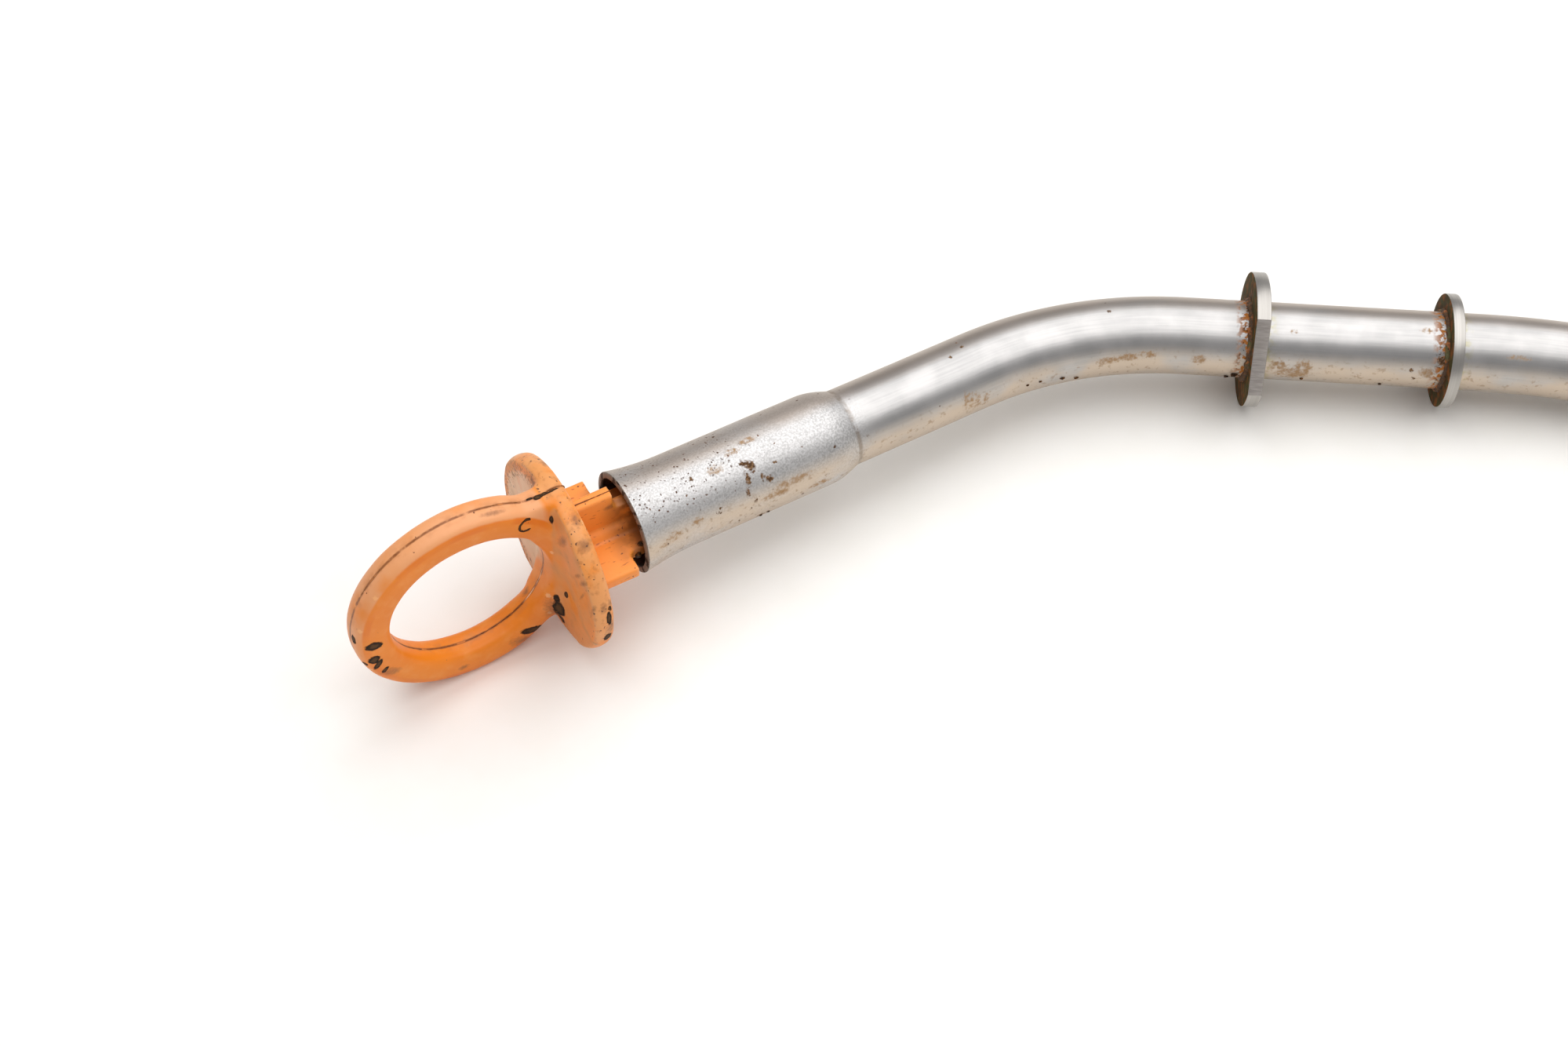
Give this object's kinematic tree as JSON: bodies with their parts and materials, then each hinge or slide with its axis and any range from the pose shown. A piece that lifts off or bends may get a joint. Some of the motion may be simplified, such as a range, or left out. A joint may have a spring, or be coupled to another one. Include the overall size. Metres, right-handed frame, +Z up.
{
  "type": "engine oil dipstick",
  "caption": "Bent metal guide tube with a flared mouth, collars and a beaded lower end, holding a flat-bladed dipstick with a moulded finger ring and cross-ribbed plug.",
  "frame": {"origin": "centre of the guide tube's lower end, where it enters the engine block; the part lies on its side", "axes": "+X along the mouth of the tube, from the finger ring into the tube; both bends lie in the XY plane and turn towards -Y; +Z up"},
  "size_m": [0.2989, 0.2404, 0.0356],
  "materials": {
    "tube_steel": "satin, finely blasted, with brown specks",
    "collar_steel": "turned, with bright rims and rust-brown faces",
    "seal_rubber": "matt",
    "orange_plastic": "moulded, worn and dirty",
    "spring_steel": "rolled, oily"
  },
  "bodies": {
    "guide": {"guide_tube": "tube_steel", "keyed_collar": "collar_steel", "plain_collar": "collar_steel", "seat_seal_ring": "seal_rubber"},
    "dipstick": {"handle": "orange_plastic", "plug_seal_ring": "seal_rubber", "dipstick_blade": "spring_steel", "blade_pin": "spring_steel"}
  },
  "joints": [
    {"name": "pull_out", "type": "slide", "parent": "guide", "child": "dipstick", "axis": [-1, 0, 0], "range_m": [-0.0018, 0.38], "deforming": ["dipstick_blade"]}
  ]
}
